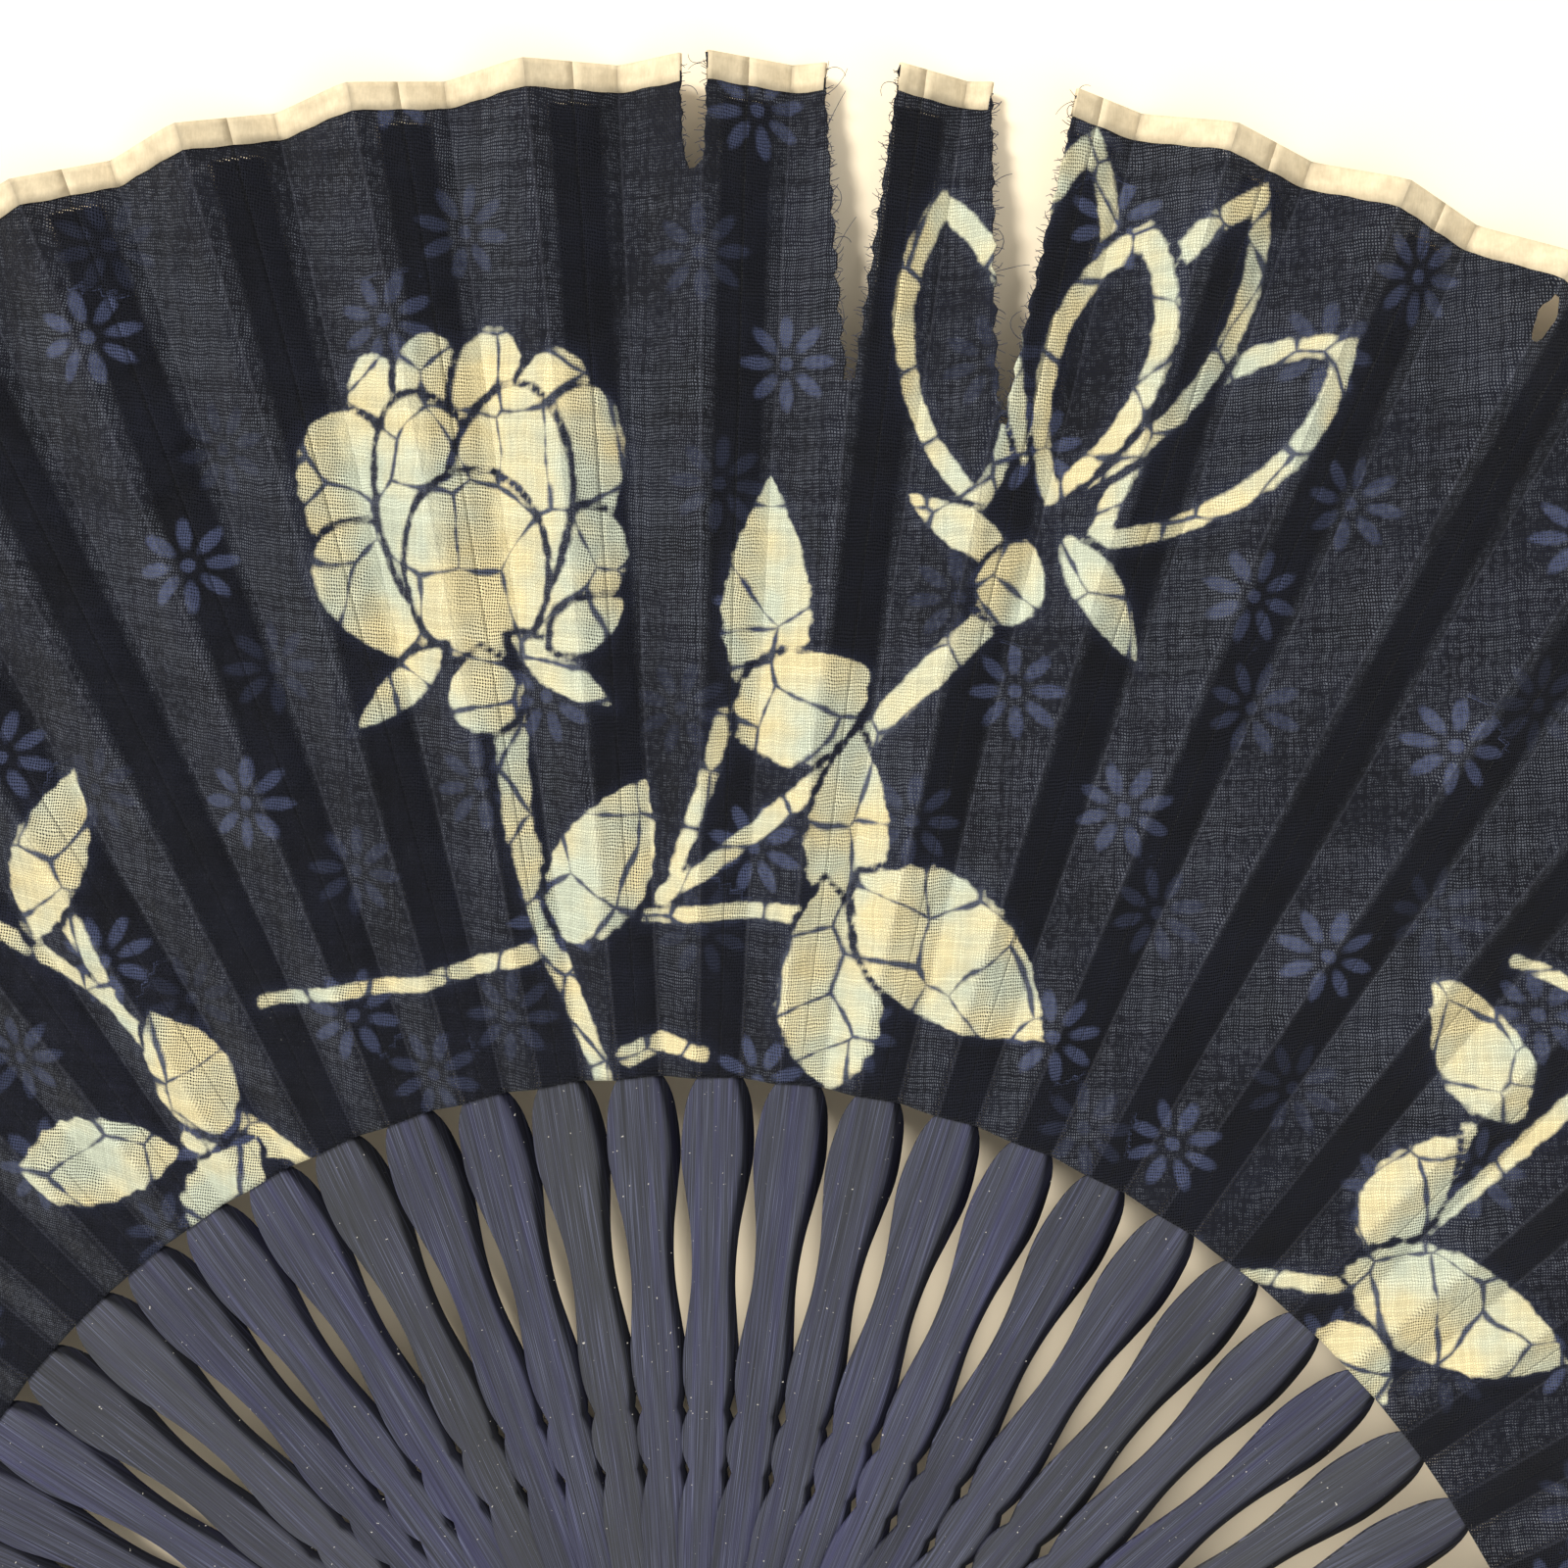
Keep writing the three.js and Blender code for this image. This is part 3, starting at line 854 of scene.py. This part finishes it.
def filled_bud(x, y, print_, at, turn, size=1.0):
    """A generic closed bud of overlapping petals, with sepals at its foot."""
    angle = math.radians(turn)

    def place(across, along):
        across, along = across * size, along * size
        return (
            at[0] + across * math.cos(angle) + along * math.sin(angle),
            at[1] - across * math.sin(angle) + along * math.cos(angle),
        )

    petals = [
        (-8, 12, 13, 8, -14), (-2.5, 14, 12, 7, -4), (3.5, 14, 13, 8, 8), (9.5, 11, 13, 8, 24),
        (-11.5, 3, 20, 12, -16), (11.5, 3.5, 20, 10, 18), (-9.5, -7, 18, 12, -46), (9.5, -7, 17, 11, 44),
        (-3.5, 1, 25, 12, -7), (4.5, 1.5, 25, 13, 9), (0.5, -5, 20, 15, 2),
    ]
    for across, along, length, width, lean in petals:
        shape = oval(x, y, place(across, along), length * size, width * size, turn + lean)
        print_ = over(print_, shape)
    sepals = [(-9, -17.5, 13, 4, -128), (8.5, -17, 13, 4, 128), (12, -12, 9, 5, 60), (0, -18.5, 9, 7, 0)]
    for across, along, length, width, lean in sepals:
        shape = pointed(x, y, place(across, along), length * size, width * size, turn + lean)
        print_ = over(print_, shape)
    return print_


def open_bud(x, y, print_, at, turn):
    """A generic opening bud, drawn only in outline."""
    angle = math.radians(turn)

    def place(across, along):
        return (
            at[0] + across * math.cos(angle) + along * math.sin(angle),
            at[1] - across * math.sin(angle) + along * math.cos(angle),
        )

    petals = [
        (-13, 15, 33, 13, -24), (14, 14, 33, 13, 34), (-5.5, 23, 34, 11, -6),
        (7, 23, 34, 11, 12), (0.5, 18, 30, 12, 2),
    ]
    for across, along, length, width, lean in petals:
        shape = pointed(x, y, place(across, along), length, width, turn + lean, heavy=-0.15)
        print_ = outlined(print_, shape)
    sepals = [(-7.5, -1.5, 13, 4, -74), (8, -4, 15, 4.5, 132), (-1, -5, 9, 7, 0)]
    for across, along, length, width, lean in sepals:
        print_ = over(print_, pointed(x, y, place(across, along), length, width, turn + lean))
    return print_


# place, length, width and turn of each printed leaf
MIDDLE_LEAVES = [
    ((-12.5, 114.5), 19, 10, 24), ((3.5, 142), 25, 9, 0), ((7.5, 131.5), 15, 11, 62),
    ((12.5, 119), 20, 8.5, 4), ((11, 102.5), 22, 10.5, -4), ((23.5, 106), 25, 14, 130),
]
LEFT_LEAVES = [
    ((-70.5, 113), 19, 7.5, 14), ((-56, 90.5), 15, 8, -32), ((-65.5, 80.5), 17, 9.5, 82),
    ((-52, 78), 12, 8, 30),
]
RIGHT_LEAVES = [
    ((76.5, 99), 18, 8.5, -32), ((70.5, 84), 15, 7.5, 34), ((76, 71.5), 25, 11.5, 112),
    ((65.5, 64.5), 12, 9, 160),
]
# the points of each branch, with its first and last width
BRANCHES = [
    ([(-23, 132), (-21.5, 118), (-17.8, 105.5), (-12, 92)], 3.2, 2.0),
    ([(-17.8, 105.5), (-32, 101), (-48, 98.5)], 2.0, 1.2),
    ([(-6.5, 111), (4, 119), (14, 128), (21, 136), (29, 144)], 1.6, 3.2),
    ([(-5, 114), (-2.5, 122), (-0.5, 130)], 1.2, 1.8),
    ([(-8, 109), (1, 110), (10, 110)], 1.3, 1.8),
    ([(-9.5, 94.5), (-6, 96), (-2, 95)], 2.2, 1.6),
    ([(-78, 106), (-64, 98), (-56, 89), (-43, 81)], 1.4, 1.8),
    ([(-68, 106), (-64, 99)], 2.4, 1.2),
    ([(-56, 83), (-44, 82)], 2.0, 1.2),
    ([(92, 99), (78, 85), (66, 74), (53, 74.5)], 2.0, 1.4),
    ([(76, 91), (73.5, 83)], 1.2, 1.6),
    ([(88, 105), (80, 108)], 1.6, 1.2),
]
CLOSED_BUD = {"at": (-27, 149), "turn": -6, "size": 0.94}
OPEN_BUD = {"at": (30.5, 149), "turn": 16}

# angle from the middle and size of the buds near the guards, and their distances from the rivet
SIDE_BUDS = [(-63, 0.95), (62, 1.0)]
SIDE_BUD_RADIUS = 152
SIDE_LEAF_RADIUS = 122
SIDE_STALK_FOOT = 104
SIDE_STALK_TOP = 0.88 * SIDE_BUD_RADIUS


def from_rivet(distance, angle):
    return distance * math.sin(angle), distance * math.cos(angle)


def leaves_over(x, y, print_, leaves):
    for at, length, width, turn in leaves:
        shape = pointed(x, y, at, length, width, turn)
        serrated = shape + 0.35 * np.abs(np.sin(1.1 * (x + y))) - 0.15
        print_ = over(print_, serrated)
    return print_


def resist_print(x, y):
    """Signed distance to the cream print, in millimetres: negative where the wax kept the dye out."""
    print_ = np.full(x.shape, 30.0)
    for points, start_width, end_width in BRANCHES:
        print_ = np.minimum(print_, stroke(x, y, points, start_width, end_width))
    print_ = filled_bud(x, y, print_, **CLOSED_BUD)
    print_ = open_bud(x, y, print_, **OPEN_BUD)
    for leaves in (MIDDLE_LEAVES, LEFT_LEAVES, RIGHT_LEAVES):
        print_ = leaves_over(x, y, print_, leaves)
    for degrees, size in SIDE_BUDS:
        angle = math.radians(degrees)
        stalk = [from_rivet(SIDE_STALK_TOP, angle), from_rivet(SIDE_STALK_FOOT, angle + 0.06)]
        print_ = np.minimum(print_, stroke(x, y, stalk, 3.0, 2.0))
        print_ = filled_bud(x, y, print_, from_rivet(SIDE_BUD_RADIUS, angle), degrees, size)
        leaf_at = from_rivet(SIDE_LEAF_RADIUS, angle - 0.1)
        print_ = over(print_, pointed(x, y, leaf_at, 20, 9, degrees - 50))
    return print_


DAISY_COLUMN = math.radians(10.2)
DAISY_ROW = 11.8
DAISY_REACH = 5.2  # a little more than a petal's far end
DAISY_ZIGZAG = math.radians(1.25) * 150  # to either side of a column, in millimetres
ZIGZAG_INNERMOST = 80  # nearer the rivet than this it no longer widens in angle


def daisy_place(x, y):
    """Offset from the nearest small flower's middle, turned its own way, and how strongly it took."""
    r, angle = np.hypot(x, y), np.arctan2(x, y)
    best = np.full(x.shape, 1e3)
    found = np.zeros(x.shape + (3,))
    column = np.floor(angle / DAISY_COLUMN)
    row = np.floor(r / DAISY_ROW)
    for column_step in (0, 1):
        for row_step in (0, 1):
            i, j = column + column_step, row + row_step
            zigzag = (1 - 2 * ((i + j) % 2)) * DAISY_ZIGZAG / np.maximum(r, ZIGZAG_INNERMOST)
            to = i * DAISY_COLUMN + zigzag + 0.012 * np.sin(3 * i + 5 * j)
            reach = j * DAISY_ROW + 2.2 * np.sin(1.7 * i + 2.9 * j) + 5 * (i % 2)
            dx, dy = x - reach * np.sin(to), y - reach * np.cos(to)
            distance = np.hypot(dx, dy)
            own = i * 1.3 + j * 0.7
            turned = np.stack(
                [
                    dx * np.cos(own) - dy * np.sin(own),
                    dx * np.sin(own) + dy * np.cos(own),
                    (distance < DAISY_REACH) * (0.6 + 0.4 * np.sin(2 * i + 3.3 * j)),
                ],
                -1,
            )
            nearer = distance < best
            best = np.where(nearer, distance, best)
            found = np.where(nearer[..., None], turned, found)
    return found


# ---------------------------------------------------------------- the leaf and its binding


def blend_over(piece, gap):
    """Bakes the piece's placement into its mesh; its free panel's fold planes are worked out but not used.
    """
    start, step = fold_planes(gap)
    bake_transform(piece)


def gap_columns(gap, panel_steps):
    """t at each column of points across one gap's part of the leaf, with one on every fold."""
    first = -0.25 if gap == 0 else 0.0
    last = 1.25 if gap == GAPS - 1 else 1.0
    ends = [first, 0.25, 0.75, last]
    columns = [np.array([first])]
    for a, b in zip(ends, ends[1:]):
        steps = max(2, round(panel_steps * (b - a) / 0.5))
        columns.append(np.linspace(a, b, steps + 1)[1:])
    return np.concatenate(columns)


def cloth_attributes(gap, t, r):
    points = leaf_point(gap, t, r)
    x, y = points[..., 0], points[..., 1]
    return points.reshape(-1, 3), {
        "flat": flat_place(gap, t, r).reshape(-1, 3),
        "resist": resist_print(x, y).ravel(),
        "daisy": daisy_place(x, y).reshape(-1, 3),
        "fold": fold_distance(t, r).ravel(),
        "behind": rib_distance(t, r).ravel(),
    }


LEAF_PANEL_STEPS = 15
LEAF_ROWS = 151
BINDING_PANEL_STEPS = 10


def leaf_section(gap):
    """The leaf from the middle of one stick's rib to the middle of the next one's."""
    columns = gap_columns(gap, LEAF_PANEL_STEPS)
    rows = np.linspace(HEAD_RADIUS - LEAF_OVER_HEAD, LEAF_OUTER, LEAF_ROWS)
    t, r = np.meshgrid(columns, rows)
    t, side = cut(gap, t, r)
    points, attributes = cloth_attributes(gap, t, r)
    quads = grid_faces(*t.shape, keep=uncut(side))
    points, faces, attributes = without_loose(points, quads, attributes)
    piece = make_mesh(f"leaf_section_{gap + 1:02d}", points, faces, attributes, COTTON)
    piece.data.set_sharp_from_angle(angle=math.radians(24))
    solidify(piece, LEAF_THICKNESS)
    blend_over(piece, gap)
    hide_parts(f"leaf_{gap // 2 + 1:02d}")


def binding_section(gap):
    """The tape folded over the leaf's outer edge, from one rib's middle to the next one's."""
    columns = gap_columns(gap, BINDING_PANEL_STEPS)
    reach = np.array([BINDING_INNER, BINDING_INNER + 1, LEAF_OUTER - 0.3, BINDING_OUTER - 0.06])
    t, r = np.meshgrid(columns, reach)
    waver = 0.05 * np.sin(31 * (gap + t)) + 0.02 * np.sin(17 * (gap + t))
    r = r + np.where(r == BINDING_INNER, waver, 0)
    t, side = cut(gap, t, np.full_like(r, BINDING_INNER + 1))
    points = past_rim(gap, t, r)
    attributes = {
        "flat": flat_place(gap, t, r).reshape(-1, 3),
        "fold": fold_distance(t, r).ravel(),
    }
    quads = grid_faces(*t.shape, keep=uncut(side))
    points, faces, attributes = without_loose(points.reshape(-1, 3), quads, attributes)
    piece = make_mesh(f"binding_section_{gap + 1:02d}", points, faces, attributes, TAPE)
    piece.data.set_sharp_from_angle(angle=math.radians(30))
    thickness = LEAF_THICKNESS + 2 * TAPE_LAYER
    solidify(piece, thickness, offset=LEAF_THICKNESS / thickness)
    blend_over(piece, gap)
    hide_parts(f"binding_{gap // 2 + 1:02d}")
    return piece


def thread_tube(path, radius):
    """Points and faces of a thin four-sided tube along a path."""
    path = np.asarray(path, float)
    along = np.gradient(path, axis=0)
    along /= np.linalg.norm(along, axis=1)[:, None] + 1e-9
    side = np.cross(along, [0.0, 0.0, 1.0])
    side /= np.linalg.norm(side, axis=1)[:, None] + 1e-9
    up = np.cross(side, along)
    thin = np.linspace(1, 0.6, len(path))[:, None] * radius
    rings = np.stack([path + side * thin, path + up * thin, path - side * thin, path - up * thin], 1)
    return rings.reshape(-1, 3), ring_faces(len(path), 4)


# torn gaps, with the lowest and highest thread along each
FRAYED = {13: (184.8, 194.6), 14: (163.8, 194.8), 15: (162.3, 194.8)}
FRAY_SPACING = 0.3
FRAY_ROOT = 0.01  # how far a thread starts inside the cloth, in t
SHORT_FRAY = (0.2, 1.1)
LONG_FRAY = (1.8, 4.5)
LONG_SHARE = 0.03
LONG_SHARE_AT_RIM = 0.25
RIM_DEPTH = 3


def frays(gap, low_r, high_r):
    """Thread ends standing out of both edges of a tear, a few of them long and curled."""
    random = np.random.default_rng(40 + gap)
    points, faces, start = [], [], 0
    for side, sign in ((0, 1), (1, -1)):
        for at in np.arange(low_r, high_r, FRAY_SPACING):
            at = at + random.uniform(-0.1, 0.1)
            near_rim = at > LEAF_OUTER - RIM_DEPTH
            long_one = random.random() < (LONG_SHARE_AT_RIM if near_rim else LONG_SHARE)
            length = random.uniform(*(LONG_FRAY if long_one else SHORT_FRAY))
            curl = random.uniform(-1.2, 1.2) * (3.2 if long_one else 1.0)
            edge = TEARS[gap](np.array([at]))[side][0]
            foot = to_t(gap, edge) - FRAY_ROOT * sign
            steps = np.linspace(0, 1, 8 if long_one else 4)
            turned = random.uniform(-0.5, 0.5) if not long_one else random.choice([-1.3, 1.2, 0.3])
            heading = (0 if sign > 0 else math.pi) + turned + curl * steps
            stride = length / (len(steps) - 1)
            across = np.cumsum(np.cos(heading)) * stride
            up = np.cumsum(np.sin(heading)) * stride
            path = past_rim(gap, foot + (across - across[0]) / (PITCH * at), at + up - up[0])
            tube, tube_faces = thread_tube(path, random.uniform(0.035, 0.05))
            points.append(tube)
            faces.extend([[i + start for i in face] for face in tube_faces])
            start += len(tube)
    points = np.concatenate(points)
    piece = make_mesh(f"frayed_threads_{gap + 1:02d}", points, faces, {"flat": points}, THREADS)
    blend_over(piece, gap)
    return piece


def leaf():
    for gap in range(GAPS):
        edge_pieces = [binding_section(gap)]
        if gap in FRAYED:
            edge_pieces.append(frays(gap, *FRAYED[gap]))
        leaf_section(gap)


# ---------------------------------------------------------------- rivet, floor, light, camera


def rivet():
    for node in ("rivet_pin", "rivet_lower_washer", "rivet_upper_washer"):
        mesh = frame["nodes"][node].data
        mesh.materials.clear()
        mesh.materials.append(BRASS)


def floor():
    g = Graph("pale_floor")
    place = g.node("ShaderNodeTexCoord", {}).outputs["Object"]
    tone = g.noise(place, 6.0, 3.0)
    material = g.finish(
        Base_Color=g.mix(tone, srgb(243, 227, 198), srgb(246, 231, 204)),
        Roughness=0.95,
    )
    bpy.ops.mesh.primitive_plane_add(size=8, location=(0, 0, CAD_BOX[0].z - 0.0002))
    plane = bpy.context.object
    plane.name = "floor"
    plane.data.materials.append(material)


def area_light(name, place, target, size, power, colour):
    lamp = bpy.data.lights.new(name, "AREA")
    lamp.shape = "DISK"
    lamp.size = size
    lamp.energy = power
    lamp.color = colour
    light = bpy.data.objects.new(name, lamp)
    light.location = place
    aim = Vector(target) - Vector(place)
    light.rotation_euler = aim.to_track_quat("-Z", "Y").to_euler()
    bpy.context.scene.collection.objects.link(light)


def lights():
    middle = (0.0, 0.12, 0.0)
    area_light("key", (-0.56, 0.72, 0.8), middle, 0.3, 15, (1.0, 0.98, 0.94))
    area_light("fill", (0.5, -0.3, 0.9), middle, 0.9, 3, (0.93, 0.96, 1.0))
    world = bpy.data.worlds.new("studio")
    world.use_nodes = True
    world.node_tree.nodes["Background"].inputs[0].default_value = (1.0, 0.985, 0.95, 1)
    world.node_tree.nodes["Background"].inputs[1].default_value = 0.85
    bpy.context.scene.world = world


CAMERA_PLACE = (0.0138, 0.1569, 0.2237)
CAMERA_TURN = (8.58, -2.14, -1.84)
CAMERA_LENS = 49.5


def camera():
    """Looks nearly straight down at the leaf's middle, as close as a hand-held picture."""
    data = bpy.data.cameras.new("camera")
    data.lens = CAMERA_LENS
    data.clip_start = 0.005
    view = bpy.data.objects.new("camera", data)
    turn = Vector([math.radians(a) for a in CAMERA_TURN])
    to_camera = Matrix.Rotation(turn.length, 3, turn.normalized())
    view.matrix_world = Matrix.Translation(CAMERA_PLACE) @ to_camera.transposed().to_4x4()
    bpy.context.scene.collection.objects.link(view)
    bpy.context.scene.camera = view


camera()
floor()
lights()
rivet()
for number in range(1, GAPS):
    stick(number)
guard("rear_guard", 0, REAR_FLOOR, unbent)
guard("front_guard", GAPS, FRONT_FLOOR, front_guard_lift)
leaf()

bpy.context.scene.view_settings.view_transform = "Standard"
